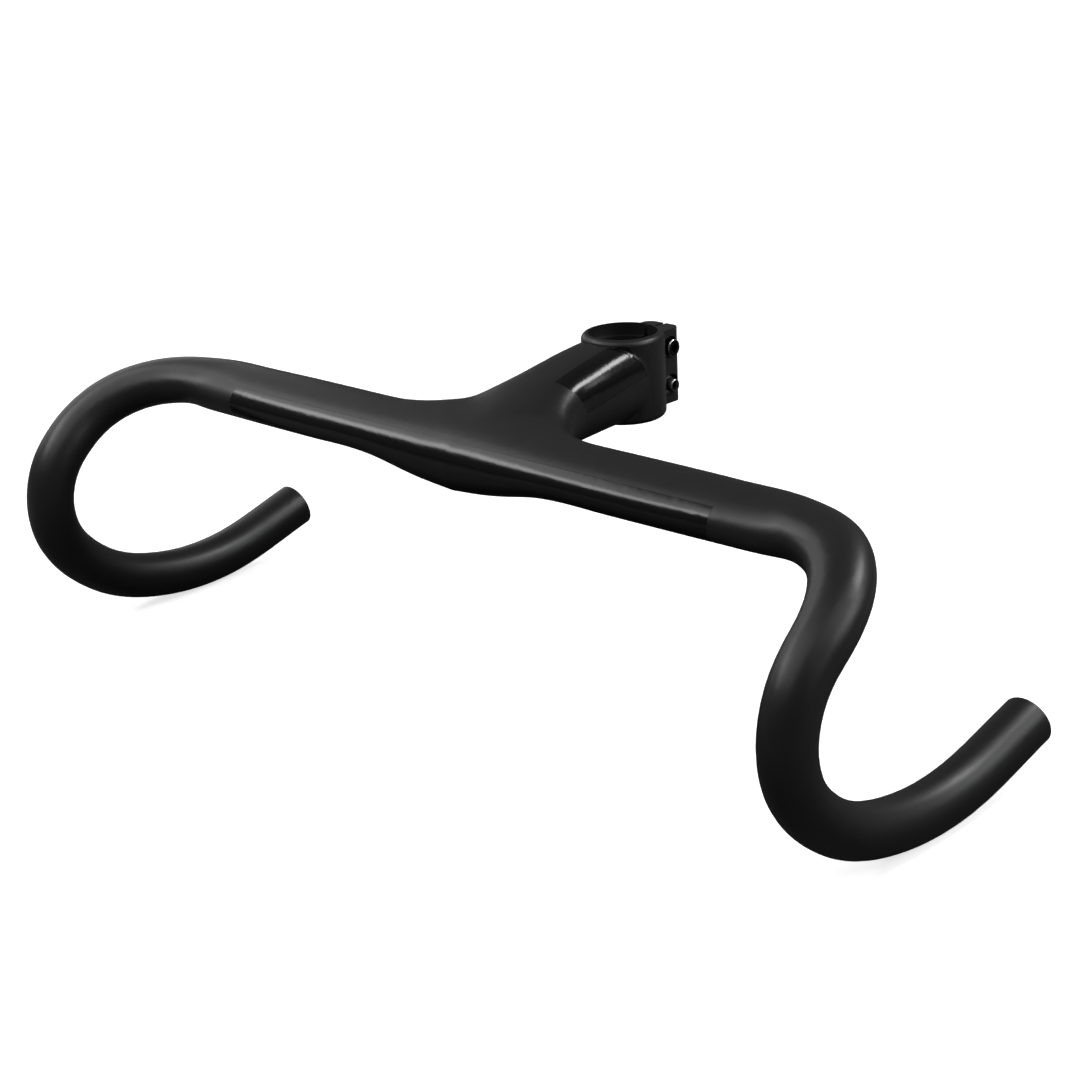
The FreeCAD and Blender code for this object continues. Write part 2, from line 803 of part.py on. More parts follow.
def nose_cutters(doc, size):
    """The shallow pocket for the cover and the two holes for the sleeves behind it."""
    gap = "2 * sizes.fit_clearance"
    wide, deep = f"sizes.cover_wide + {gap}", f"sizes.cover_deep + {gap}"
    tall, low = "2 * sizes.cover_thick", "-sizes.cover_thick"
    cutters = [nose_block(doc, size, "cover_pocket", wide, deep, tall, low, "sizes.cover_corner")]
    for name, side in COVER_SIDES.items():
        radius = "sizes.insert_across / 2"
        cutters.append(
            nose_cylinder(doc, size, f"insert_hole_{name}", radius, "sizes.insert_end", cover_across(side))
        )
    return cutters


def cable_cutters(doc, size):
    """The cable exit in the stem's belly, and the hose port under each lever's seat."""
    low = "-sizes.clamp_height / 2"
    tall = "sizes.clamp_height / 2 + sizes.exit_top"
    radius = "sizes.exit_across / 2"
    forward = "sizes.exit_forward"
    cutters = []
    for name, side in COVER_SIDES.items():
        across = f"{side} * (sizes.exit_wide - sizes.exit_across) / 2"
        cutters.append(cylinder(doc, f"exit_end_{name}", radius, tall, across, forward, low))
    cutters.append(
        box(
            doc,
            "exit_middle",
            "sizes.exit_wide - sizes.exit_across",
            "sizes.exit_across",
            tall,
            "-(sizes.exit_wide - sizes.exit_across) / 2",
            f"{forward} - {radius}",
            low,
        )
    )
    seat = lever_station(size)
    port = Part.makeCylinder(size.hose_port / 2, size.tube, seat.centre, seat.up_way * -1)
    cutters.append(skin_feature(doc, "hose_port_right", port))
    cutters.append(skin_feature(doc, "hose_port_left", port.mirror(V(0, 0, 0), V(1, 0, 0))))
    return cutters


def lever_station(size):
    """The section under the lever's clamp, where the ramp begins to turn down."""
    ramp = drop_arcs(size, 0)[0]
    return drop_stations(size)[ramp.sections]


def plug_cutters(doc, size):
    """The round seat for the plug in each open end of the bar."""
    end = drop_stations(size)[-1]
    inwards = end.up_way.cross(end.chord_way)
    start = end.centre - inwards * size.wall
    bore = Part.makeCylinder(size.plug_bore / 2, size.plug_depth + size.wall, start, inwards)
    mirrored = bore.mirror(V(0, 0, 0), V(1, 0, 0))
    return [skin_feature(doc, "plug_bore_right", bore), skin_feature(doc, "plug_bore_left", mirrored)]


def barstem(doc, size):
    """The one-piece moulding: its outside less its inside, the bore and every hole."""
    outside = skin_feature(doc, "outer_skin", whole_skin(size, 0, 0, 0))
    body = fuse(doc, "barstem_outside", [outside] + clamp_outside(doc, size))
    cavity_start = size.steerer_bore / 2 + size.stem_wall
    inside = skin_feature(doc, "inner_skin", whole_skin(size, cavity_start, size.wall, size.wall))
    boss = nose_block(
        doc,
        size,
        "nose_boss",
        "sizes.cover_wide + 2 * sizes.boss_wall",
        "sizes.cover_deep + 2 * sizes.boss_wall",
        "sizes.insert_end + sizes.boss_wall + sizes.clamp_height / 2",
        "-sizes.clamp_height / 2",
        "sizes.cover_corner",
    )
    cavity = cut(doc, "cavity", inside, boss)
    tools = [cavity] + clamp_cutters(doc) + pinch_cutters(doc)
    tools += nose_cutters(doc, size) + cable_cutters(doc, size) + plug_cutters(doc, size)
    item = cut(doc, "barstem", body, fuse(doc, "barstem_cutters", tools))
    item.Label = "barstem"
    return item


def sub_parts(doc, size):
    """Every separate piece, in the order that it would go together."""
    parts = [barstem(doc, size)]
    for level_name in PINCH_SIDES:
        parts.append(pinch_bolt(doc, f"pinch_bolt_{level_name}", level_name))
        parts.append(pinch_washer(doc, f"pinch_washer_{level_name}", level_name))
        parts.append(pinch_nut(doc, f"pinch_nut_{level_name}", level_name))
    parts.append(mount_cover(doc, size))
    for name, side in COVER_SIDES.items():
        parts.append(cover_screw(doc, size, f"cover_screw_{name}", side))
        parts.append(cover_insert(doc, size, f"cover_insert_{name}", side))
    return parts


def check(doc, parts):
    """Stops before anything is written if an object failed or a piece isn't sound."""
    failed = [item.Name for item in doc.Objects if {"Invalid", "Error"} & set(item.State)]
    if failed:
        raise RuntimeError(f"failed objects: {failed}")
    for part in parts:
        if part.Shape.isNull() or not part.Shape.isValid() or not part.Shape.Solids:
            raise RuntimeError(f"{part.Label} has no sound solid")


def main():
    """Builds the document, checks it and writes one file for each piece."""
    doc = FreeCAD.newDocument("handlebar_stem")
    sheet = make_sheet(doc)
    size = Sizes(sheet)
    parts = sub_parts(doc, size)
    doc.recompute()
    check(doc, parts)
    os.makedirs("parts", exist_ok=True)
    for part in parts:
        part.Shape.exportStep(f"parts/{part.Label}.step")
        print(part.Label, len(part.Shape.Solids), round(part.Shape.Volume, 1))


main()
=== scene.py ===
"""Studio scene of a one-piece carbon handlebar and stem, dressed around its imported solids.

The frame is the part's own: the origin lies on the steerer's axis, +X is the rider's right, +Y runs
forward and +Z up. Lengths are in metres, unless a name ends in _mm.
"""
from __future__ import annotations

import logging
from collections.abc import Callable
from dataclasses import dataclass
from enum import Enum
from math import cos, radians, sin

import bpy
from mathutils import Matrix, Vector


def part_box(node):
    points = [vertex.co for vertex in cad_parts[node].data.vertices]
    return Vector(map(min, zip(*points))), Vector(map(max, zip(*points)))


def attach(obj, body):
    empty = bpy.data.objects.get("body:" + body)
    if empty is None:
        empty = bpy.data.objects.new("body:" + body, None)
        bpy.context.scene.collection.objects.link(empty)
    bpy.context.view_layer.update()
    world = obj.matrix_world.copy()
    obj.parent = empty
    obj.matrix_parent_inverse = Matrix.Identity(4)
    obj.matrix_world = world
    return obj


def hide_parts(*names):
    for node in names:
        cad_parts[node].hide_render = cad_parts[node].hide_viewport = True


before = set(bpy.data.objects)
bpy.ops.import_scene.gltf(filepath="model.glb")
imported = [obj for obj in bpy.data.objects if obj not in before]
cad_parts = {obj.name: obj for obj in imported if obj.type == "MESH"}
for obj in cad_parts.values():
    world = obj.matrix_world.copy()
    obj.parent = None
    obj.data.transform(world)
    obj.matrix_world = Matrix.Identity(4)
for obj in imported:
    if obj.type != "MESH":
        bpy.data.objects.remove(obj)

MM = 0.001
BODY = "root"

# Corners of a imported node's facets this near to each other are one corner.
MERGE_DISTANCE = 0.002 * MM
# Degrees between two faces: up to the first they are one flat face, from the second their edge is sharp.
FLAT_ANGLE = 1.0
SHARP_ANGLE = 35.0
# Steps across a broken edge.
EDGE_STEPS = 2
# Where the Mix node keeps its share, its two colours and its mixed colour.
MIX_SHARE, MIX_FIRST, MIX_SECOND, MIX_RESULT = 0, 6, 7, 2

log = logging.getLogger("handlebar")


def linear(hex_colour: str) -> tuple[float, float, float, float]:
    """Turns an sRGB colour into the linear one that a shader takes, by the standard's own curve.

    Args:
        hex_colour: Six hexadecimal digits, with or without a leading sign.

    Returns:
        Red, green and blue from 0 to 1, and an alpha of 1.
    """
    digits = hex_colour.lstrip("#")
    channels = []
    for start in (0, 2, 4):
        value = int(digits[start:start + 2], 16) / 255
        channels.append(value / 12.92 if value <= 0.04045 else ((value + 0.055) / 1.055) ** 2.4)
    return channels[0], channels[1], channels[2], 1.0


def add(
    tree: bpy.types.NodeTree,
    kind: str,
    inputs: dict[str | int, object] | None = None,
    **settings: object,
) -> bpy.types.Node:
    """Adds one node with its settings, its plain values and its links.

    Args:
        tree: The tree that gets the node.
        kind: The node's type name.
        inputs: A value or another node's output for each named or numbered input.
        **settings: Properties of the node itself.

    Returns:
        The new node.
    """
    node = tree.nodes.new(kind)
    for name, value in settings.items():
        setattr(node, name, value)
    for key, value in (inputs or {}).items():
        if isinstance(value, bpy.types.NodeSocket):
            tree.links.new(value, node.inputs[key])
        else:
            node.inputs[key].default_value = value
    return node


def object_millimetres(tree: bpy.types.NodeTree) -> bpy.types.NodeSocket:
    """Object coordinates in millimetres, so that a pattern's scale is its real size."""
    place = add(tree, "ShaderNodeTexCoord").outputs["Object"]
    return add(tree, "ShaderNodeVectorMath", {0: place, "Scale": 1 / MM}, operation="SCALE").outputs[0]


def noise(
    tree: bpy.types.NodeTree,
    place: bpy.types.NodeSocket,
    grain_mm: float,
    detail: float = 2.0,
) -> bpy.types.NodeSocket:
    """Noise whose features are about one grain across.

    Args:
        tree: The material's tree.
        place: Coordinates in millimetres.
        grain_mm: Size of one feature.
        detail: How many finer layers are added.

    Returns:
        The noise's value, from 0 to 1.
    """
    inputs = {"Vector": place, "Scale": 1 / grain_mm, "Detail": detail}
    return add(tree, "ShaderNodeTexNoise", inputs).outputs[0]


def ranged(
    tree: bpy.types.NodeTree,
    value: bpy.types.NodeSocket,
    low: float | bpy.types.NodeSocket,
    high: float | bpy.types.NodeSocket,
    source: tuple[float, float] = (0.0, 1.0),
) -> bpy.types.NodeSocket:
    """Maps a value from its source range to low and high.

    Args:
        tree: The material's tree.
        value: What is mapped.
        low: Result at the source range's start.
        high: Result at the source range's end.
        source: The range that is mapped.

    Returns:
        The mapped value.
    """
    inputs = {"Value": value, "From Min": source[0], "From Max": source[1], "To Min": low, "To Max": high}
    return add(tree, "ShaderNodeMapRange", inputs).outputs["Result"]


def blended(
    tree: bpy.types.NodeTree,
    share: bpy.types.NodeSocket,
    first: str | bpy.types.NodeSocket,
    second: str | bpy.types.NodeSocket,
) -> bpy.types.NodeSocket:
    """Blends two colours.

    Args:
        tree: The material's tree.
        share: 0 for the first colour and 1 for the second.
        first: Colour at 0: sRGB hex digits or another node's output.
        second: Colour at 1, given in the same ways.

    Returns:
        The blended colour.
    """
    ends = [linear(colour) if isinstance(colour, str) else colour for colour in (first, second)]
    inputs = {MIX_SHARE: share, MIX_FIRST: ends[0], MIX_SECOND: ends[1]}
    return add(tree, "ShaderNodeMix", inputs, data_type="RGBA").outputs[MIX_RESULT]


def combined(
    tree: bpy.types.NodeTree,
    operation: str,
    first: float | bpy.types.NodeSocket,
    second: float | bpy.types.NodeSocket,
) -> bpy.types.NodeSocket:
    """One arithmetic step on two values.

    Args:
        tree: The material's tree.
        operation: The Math node's operation.
        first: The first value.
        second: The second value.

    Returns:
        The result.
    """
    return add(tree, "ShaderNodeMath", {0: first, 1: second}, operation=operation).outputs[0]


def bumped(tree: bpy.types.NodeTree, height_mm: bpy.types.NodeSocket) -> bpy.types.NodeSocket:
    """A normal tilted by a height given in millimetres."""
    return add(tree, "ShaderNodeBump", {"Height": height_mm, "Strength": 1.0, "Distance": MM}).outputs[0]


@dataclass(frozen=True)
class Surface:
    """What is the same all over a finish, set on the shader's own sockets.

    Args:
        name: The material's name, after the real material and how its surface was made.
        metallic: 1 for bare metal, 0 for lacquer and plastic.
        ior: Index of refraction.
        coat: Weight of a clear film over it.
        coat_roughness: Roughness of that film.
    """

    name: str
    metallic: float = 0.0
    ior: float = 1.5
    coat: float = 0.0
    coat_roughness: float = 0.03

    def material(
        self,
        paint: Callable[[bpy.types.NodeTree], tuple[object, object, bpy.types.NodeSocket]],
    ) -> bpy.types.Material:
        """Makes the material.

        Args:
            paint: Adds the finish's nodes and gives its colour, its roughness and its normal.

        Returns:
            The finished material.
        """
        material = bpy.data.materials.new(self.name)
        material.use_nodes = True
        tree = material.node_tree
        tree.nodes.clear()
        colour, roughness, normal = paint(tree)
        inputs = {
            "Base Color": colour,
            "Roughness": roughness,
            "Normal": normal,
            "Metallic": self.metallic,
            "IOR": self.ior,
            "Coat Weight": self.coat,
            "Coat Roughness": self.coat_roughness,
        }
        shader = add(tree, "ShaderNodeBsdfPrincipled", inputs)
        add(tree, "ShaderNodeOutputMaterial", {"Surface": shader.outputs[0]})
        return material


@dataclass(frozen=True)
class HalfSpace:
    """One side of a plane: the points whose dot product with a direction is at least an offset.

    Args:
        direction: Which way the kept side lies.
        offset_mm: The dot product on the plane.
    """

    direction: tuple[float, float, float]
    offset_mm: float


@dataclass(frozen=True)
class GlossField:
    """A part of the moulding that was masked off and given gloss lacquer: where all its planes agree.

    Args:
        planes: The field's borders.
        border_mm: Width of the soft border of the lacquer.
    """

    planes: tuple[HalfSpace, ...]
    border_mm: float = 0.25

    def holds(self, place_mm: Vector, margin_mm: float) -> bool:
        """Whether a point lies in the field or within a margin round it."""
        return all(
            Vector(plane.direction).dot(place_mm) >= plane.offset_mm - margin_mm for plane in self.planes
        )

    def mask(self, tree: bpy.types.NodeTree, place: bpy.types.NodeSocket) -> bpy.types.NodeSocket:
        """Adds the nodes that give 1 inside the field and 0 outside it.

        Args:
            tree: The material's tree.
            place: Coordinates in millimetres.

        Returns:
            The mask.
        """
        mask = None
        for plane in self.planes:
            inputs = {0: place, 1: plane.direction}
            dot = add(tree, "ShaderNodeVectorMath", inputs, operation="DOT_PRODUCT").outputs["Value"]
            border = (plane.offset_mm, plane.offset_mm + self.border_mm)
            side = ranged(tree, dot, 0.0, 1.0, border)
            mask = side if mask is None else combined(tree, "MULTIPLY", mask, side)
        return mask


# On the rider's left of the stem: from the top face over the edge, ends slanted with the stem's side.
STEM_FIELD = GlossField(
    (
        HalfSpace((-1.0, -0.068, 0.0), 6.0),
        HalfSpace((0.0, 0.173, 1.0), 25.1),
        HalfSpace((0.0, -1.0, 0.66), -38.4),
        HalfSpace((-0.8, 1.0, -0.3), 13.7),
    )
)

# Along the bar's leading edge, with ends cut square to the bar.
LEADING_FIELD = GlossField(
    (
        HalfSpace((1.0, 0.0, 0.0), -153.0),
        HalfSpace((-1.0, 0.0, 0.0), -153.0),
        HalfSpace((0.0, 1.0, -0.31), 112.3),
    )
)


@dataclass(frozen=True)
class LacqueredCarbon:
    """Carbon laminate from a closed mould, sprayed with matt black lacquer and masked gloss fields.

    The matt coat is flatted with a fine silica, so it breaks highlights into a broad sheen. The gloss
    fields are a second, self-levelling coat: mirror sharp, a shade deeper, with a slight step.
    """

    surface: Surface = Surface("matt_lacquered_carbon", ior=1.45)
    deep: str = "151516"
    light: str = "19191a"
    gloss: str = "050506"
    matt_roughness: tuple[float, float] = (0.36, 0.42)
    gloss_roughness: float = 0.2
    # Real flatting grains are some 0.01 mm: drawn coarser, so that they show at all.
    grain_mm: float = 0.35
    grain_height_mm: float = 0.004
    # The laminate under the lacquer telegraphs through as broad, faint waves.
    wave_mm: float = 14.0
    peel_mm: float = 2.5
    peel_height_mm: float = 0.0015
    step_mm: float = 0.05

    def build(self) -> bpy.types.Material:
        """Makes the material."""
        return self.surface.material(self.paint)

    def paint(self, tree: bpy.types.NodeTree) -> tuple[object, object, bpy.types.NodeSocket]:
        """Adds the nodes of the finish.

        Args:
            tree: The material's tree.

        Returns:
            Colour, roughness and normal.
        """
        place = object_millimetres(tree)
        fields = [field.mask(tree, place) for field in (STEM_FIELD, LEADING_FIELD)]
        mask = combined(tree, "MAXIMUM", *fields)
        wave = noise(tree, place, self.wave_mm)
        grain = noise(tree, place, self.grain_mm)
        peel = noise(tree, place, self.peel_mm, 0.0)
        colour = blended(tree, mask, blended(tree, wave, self.deep, self.light), self.gloss)
        matt_roughness = ranged(tree, wave, *self.matt_roughness)
        roughness = ranged(tree, mask, matt_roughness, self.gloss_roughness)
        grains = combined(tree, "MULTIPLY", grain, ranged(tree, mask, self.grain_height_mm, 0.0))
        peeled = combined(tree, "MULTIPLY", peel, ranged(tree, mask, 0.0, self.peel_height_mm))
        stepped = combined(tree, "MULTIPLY", mask, self.step_mm)
        height = combined(tree, "ADD", combined(tree, "ADD", grains, peeled), stepped)
        return colour, roughness, bumped(tree, height)


@dataclass(frozen=True)
class Metal:
    """A turned and finished metal.

    Args:
        surface: What is the same all over.
        dark: Hex colour of the darker patches of its clouds.
        bright: Hex colour of the paler patches of its clouds.
        roughness: Roughness of the rubbed and of the untouched places.
        grain_mm: Size of its texture.
        grain_height_mm: Height of its texture.
        cloud_grains: How many grains wide its clouds are.
    """

    surface: Surface
    dark: str
    bright: str
    roughness: tuple[float, float]
    grain_mm: float
    grain_height_mm: float
    cloud_grains: float = 4.0

    def build(self) -> bpy.types.Material:
        """Makes the material."""
        return self.surface.material(self.paint)

    def paint(self, tree: bpy.types.NodeTree) -> tuple[object, object, bpy.types.NodeSocket]:
        """Adds the nodes of the finish.

        Args:
            tree: The material's tree.

        Returns:
            Colour, roughness and normal.
        """
        place = object_millimetres(tree)
        cloud = noise(tree, place, self.cloud_grains * self.grain_mm)
        grain = noise(tree, place, self.grain_mm)
        colour = blended(tree, cloud, self.dark, self.bright)
        height = combined(tree, "MULTIPLY", grain, self.grain_height_mm)
        return colour, ranged(tree, cloud, *self.roughness), bumped(tree, height)


@dataclass(frozen=True)
class MouldedPlastic:
    """Glass-filled nylon from a spark-eroded mould: a fine, even grain and a dry, dark surface."""

    surface: Surface = Surface("moulded_nylon", ior=1.53)
    dark: str = "161617"
    light: str = "1e1e1f"
    roughness: tuple[float, float] = (0.5, 0.62)
    grain_mm: float = 0.3
    grain_height_mm: float = 0.02

    def build(self) -> bpy.types.Material:
        """Makes the material."""
        return self.surface.material(self.paint)

    def paint(self, tree: bpy.types.NodeTree) -> tuple[object, object, bpy.types.NodeSocket]:
        """Adds the nodes of the finish.

        Args:
            tree: The material's tree.

        Returns:
            Colour, roughness and normal.
        """
        place = object_millimetres(tree)
        grain = noise(tree, place, self.grain_mm)
        colour = blended(tree, grain, self.dark, self.light)
        height = combined(tree, "MULTIPLY", grain, self.grain_height_mm)
        return colour, ranged(tree, grain, *self.roughness), bumped(tree, height)


class MetalFinish(Enum):
    """The metals of the small hardware."""

    # Heat-treated steel with a black oxide: thin and oily, so it is nearly black with a soft shine.
    BLACK_OXIDE = Metal(
        Surface("black_oxide_steel", metallic=1.0), "141415", "242424", (0.3, 0.42), 0.5, 0.004
    )
    # The same steel where keys and fingers have rubbed the oxide off: grey and nearly polished. On the
    # bolt heads' slanted rims, its pale grey is also a painted highlight that stands for the glint the
    # chamfer catches.
    WORN_STEEL = Metal(
        Surface("rubbed_steel_and_painted_glint", metallic=1.0), "9a9a9b", "c4c3c1", (0.2, 0.3), 0.3, 0.002
    )
    # Steel with a thin zinc plate: a cool, slightly cloudy grey.
    ZINC_PLATE = Metal(
        Surface("zinc_plated_steel", metallic=1.0), "8b8d90", "b4b6b8", (0.25, 0.38), 0.4, 0.003
    )
    # Aluminium turned on a lathe and left bare: softer and paler than steel.
    TURNED_ALUMINIUM = Metal(
        Surface("turned_aluminium", metallic=1.0), "a9aaac", "cfd0d0", (0.28, 0.4), 0.25, 0.004
    )


def merged_copy(node: str, name: str) -> bpy.types.Object:
    """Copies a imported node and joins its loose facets, for a piece that stands in the node's place.

    Args:
        node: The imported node's name.
        name: The new piece's name.

    Returns:
        The copy, which is the only selected object, with none of its faces selected.
    """
    piece = bpy.data.objects.new(name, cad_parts[node].data.copy())
    bpy.context.scene.collection.objects.link(piece)
    choose(piece)
    bpy.ops.mesh.customdata_custom_splitnormals_clear()
    bpy.ops.object.mode_set(mode="EDIT")
    bpy.ops.mesh.select_mode(type="FACE")
    bpy.ops.mesh.select_all(action="SELECT")
    bpy.ops.mesh.remove_doubles(threshold=MERGE_DISTANCE)
    bpy.ops.mesh.select_all(action="DESELECT")
    bpy.ops.object.mode_set(mode="OBJECT")
    return piece


def choose(piece: bpy.types.Object) -> None:
    """Makes a piece the active object and the only selected one."""
    bpy.ops.object.select_all(action="DESELECT")
    bpy.context.view_layer.objects.active = piece
    piece.select_set(True)


def soften(piece: bpy.types.Object, width_mm: float) -> None:
    """Breaks a piece's sharp edges as a tumbled or moulded part's are, and shades it smooth.

    Args:
        piece: The piece.
        width_mm: Width of the broken edge.
    """
    choose(piece)
    bpy.ops.object.mode_set(mode="EDIT")
    bpy.ops.mesh.select_all(action="SELECT")
    bpy.ops.mesh.dissolve_limited(angle_limit=radians(FLAT_ANGLE))
    bpy.ops.object.mode_set(mode="OBJECT")
    bpy.ops.object.modifier_add(type="BEVEL")
    bevel = piece.modifiers[-1]
    bevel.width = width_mm * MM
    bevel.segments = EDGE_STEPS
    bevel.limit_method = "ANGLE"
    bevel.angle_limit = radians(SHARP_ANGLE)
    bpy.ops.object.modifier_apply(modifier=bevel.name)
    bpy.ops.object.shade_smooth_by_angle(angle=radians(SHARP_ANGLE))


def finished(piece: bpy.types.Object, node: str, slot: str, *materials: bpy.types.Material) -> None:
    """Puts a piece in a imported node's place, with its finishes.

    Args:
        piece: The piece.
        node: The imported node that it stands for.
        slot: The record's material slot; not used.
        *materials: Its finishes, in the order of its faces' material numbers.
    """
    numbers = [face.material_index for face in piece.data.polygons]
    piece.data.materials.clear()
    for material in materials:
        piece.data.materials.append(material)
    for face, number in zip(piece.data.polygons, numbers):
        face.material_index = min(number, len(materials) - 1)
    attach(piece, BODY)
    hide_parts(node)
    log.info("%s: %d faces", piece.name, len(piece.data.polygons))


@dataclass
class Moulding:
    """The one-piece bar and stem.

    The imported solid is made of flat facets, which gloss lacquer would mirror one by one. So a copy of it
    stands in its place, with the facets under the gloss fields divided and rounded.

    Args:
        node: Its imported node.
        finish: Its lacquer.
        cuts: How many times each facet's edge is cut under the gloss fields.
        margin_mm: How far round the fields the facets are divided.
        wing_middle_mm: Forward and up of the wing's middle line.
        stem_middle_mm: Height of the stem's middle line at the clamp, and its fall for each step forward.
        clamp_radius_mm: Radius of the clamp, inside which nothing is divided.
    """

    node: str = "barstem"
    finish: LacqueredCarbon = LacqueredCarbon()
    cuts: int = 2
    margin_mm: float = 4.0
    wing_middle_mm: tuple[float, float] = (106.0, 13.0)
    stem_middle_mm: tuple[float, float] = (24.0, 0.1)
    clamp_radius_mm: float = 17.5

    def build(self) -> None:
        """Makes the piece and dresses it."""
        shell = merged_copy(self.node, "moulded_shell")
        self.round_facets(shell)
        finished(shell, self.node, "carbon_moulding", self.finish.build())

    def round_facets(self, shell: bpy.types.Object) -> None:
        """Divides the facets under the gloss fields into curved ones.

        Args:
            shell: The merged copy, which is active.
        """
        for face in shell.data.polygons:
            place, normal = face.center / MM, face.normal
            face.select = self.under_leading_field(place, normal) or self.under_stem_field(place, normal)
        bpy.ops.object.mode_set(mode="EDIT")
        bpy.ops.mesh.subdivide(number_cuts=self.cuts, smoothness=1.0)
        bpy.ops.mesh.select_all(action="DESELECT")
        bpy.ops.object.mode_set(mode="OBJECT")
        bpy.ops.object.shade_smooth_by_angle(angle=radians(SHARP_ANGLE))

    def under_leading_field(self, place: Vector, normal: Vector) -> bool:
        """Whether an outer facet lies under the leading edge's gloss field."""
        forward, up = self.wing_middle_mm
        outwards = normal.y * (place.y - forward) + normal.z * (place.z - up) > 0
        return outwards and LEADING_FIELD.holds(place, self.margin_mm)

    def under_stem_field(self, place: Vector, normal: Vector) -> bool:
        """Whether an outer facet lies under the stem's gloss field."""
        height, fall = self.stem_middle_mm
        outwards = normal.x * place.x + normal.z * (place.z - height + fall * place.y) > 0
        outside_clamp = place.xy.length > self.clamp_radius_mm
        return outwards and outside_clamp and STEM_FIELD.holds(place, self.margin_mm)


@dataclass
class PinchBolt:
    """A socket-head bolt across the clamp, with a cut thread and a pale rim that is partly worn bright and
    partly a painted highlight on its chamfer.

    Args:
        level: Which of the two it is.
        head_way: 1 where its head lies on the rider's right, -1 where it lies on the left.
        head_height_mm: Height of the head.
        thread_mm: Outer diameter of the thread.
        pitch_mm: Distance from one turn of the thread to the next.
        root_share: Diameter at the thread's root, as a share of the outer one.
        plain_mm: Length of plain shank under the head.
        turn_steps: Steps of one turn of the thread.
        edge_mm: Width of the broken edges.
        rim_share: Distance from the axis where the head's rim begins, as a share of the thread's diameter.
        rim_slant: How much of a face's normal points outwards along the bolt, if the face counts as rim.
    """

    level: str
    head_way: int
    head_height_mm: float = 5.0
    thread_mm: float = 5.0
    pitch_mm: float = 0.8
    root_share: float = 0.81
    plain_mm: float = 1.2
    turn_steps: int = 20
    edge_mm: float = 0.12
    rim_share: float = 0.72
    rim_slant: tuple[float, float] = (0.2, 0.95)

    def build(self, black: bpy.types.Material, worn_and_glint: bpy.types.Material) -> None:
        """Makes the bolt.

        Args:
            black: Its black finish.
            worn_and_glint: The finish of its rim: rubbed steel, whose pale grey is partly a painted
                highlight.
        """
        node = f"pinch_bolt_{self.level}"
        bolt = merged_copy(node, f"socket_bolt_{self.level}")
        low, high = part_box(node)
        axis = Vector((0.0, (low.y + high.y) / 2, (low.z + high.z) / 2))
        outer, tip = (high.x, low.x) if self.head_way > 0 else (low.x, high.x)
        neck = outer - self.head_way * (self.head_height_mm + self.plain_mm) * MM
        self.turn_down(bolt, axis, tip)
        soften(bolt, self.edge_mm)
        thread = self.thread(axis, neck, tip)
        choose(bolt)
        thread.select_set(True)
        bpy.ops.object.join()
        bpy.ops.object.shade_smooth_by_angle(angle=radians(SHARP_ANGLE))
        self.wear_and_glint_rim(bolt, axis)
        finished(bolt, node, "black_steel", black, worn_and_glint)

    def turn_down(self, bolt: bpy.types.Object, axis: Vector, tip: float) -> None:
        """Draws the shank's end in to the thread's root, which leaves a taper under the head.

        Args:
            bolt: The merged copy.
            axis: A point on the bolt's axis.
            tip: The X of its tip.
        """
        reach = 2 * self.pitch_mm * MM
        for vertex in bolt.data.vertices:
            vertex.select = abs(vertex.co.x - tip) < reach
        bpy.ops.object.mode_set(mode="EDIT")
        bpy.ops.mesh.select_mode(type="VERT")
        bpy.ops.transform.resize(
            value=(1.0, self.root_share, self.root_share),
            center_override=axis,
        )
        bpy.ops.mesh.select_all(action="DESELECT")
        bpy.ops.object.mode_set(mode="OBJECT")

    def wear_and_glint_rim(self, bolt: bpy.types.Object, axis: Vector) -> None:
        """Gives the slanted faces round the head's outer rim the second finish, whose pale grey is partly
        wear and partly a painted highlight on the chamfer.

        Args:
            bolt: The softened copy with its thread.
            axis: A point on the bolt's axis.
        """
        least, most = self.rim_slant
        for face in bolt.data.polygons:
            across = face.center - axis
            outwards = self.head_way * face.normal.x
            on_head = across.yz.length > self.rim_share * self.thread_mm * MM
            # The rim's pale finish is partly wear and partly a painted highlight where the chamfer catches
            # the light.
            face.material_index = int(on_head and least < outwards < most)

    def thread(self, axis: Vector, neck: float, tip: float) -> bpy.types.Object:
        """Winds the thread's ridge from the neck to the tip.

        Args:
            axis: A point on the bolt's axis.
            neck: The X where the thread begins.
            tip: The X of the bolt's tip.

        Returns:
            The ridge, a closed coil of triangular section.
        """
        # A triangle is half as tall again as the radius of the circle round it.
        depth_mm = self.thread_mm * (1 - self.root_share) / 2
        ridge_mm = depth_mm / 1.5
        turns = int((abs(tip - neck) / MM - self.pitch_mm) / self.pitch_mm)
        bpy.ops.object.select_all(action="DESELECT")
        bpy.ops.mesh.primitive_circle_add(
            vertices=3,
            radius=ridge_mm * MM,
            location=(neck, 0.0, (self.thread_mm / 2 - ridge_mm) * MM),
            rotation=(radians(90), 0.0, 0.0),
        )
        ridge = bpy.context.object
        bpy.ops.object.transform_apply(location=True, rotation=True)
        bpy.ops.object.modifier_add(type="SCREW")
        screw = ridge.modifiers[-1]
        screw.axis = "X"
        screw.steps = screw.render_steps = self.turn_steps
        screw.screw_offset = -self.head_way * self.pitch_mm * MM
        screw.iterations = turns
        screw.use_merge_vertices = False
        bpy.ops.object.modifier_apply(modifier=screw.name)
        ridge.location = axis
        bpy.ops.object.transform_apply(location=True)
        bpy.ops.object.mode_set(mode="EDIT")
        bpy.ops.mesh.select_all(action="SELECT")
        bpy.ops.mesh.fill_holes(sides=3)
        bpy.ops.mesh.select_all(action="SELECT")
        bpy.ops.mesh.normals_make_consistent(inside=False)
        bpy.ops.object.mode_set(mode="OBJECT")
        return ridge


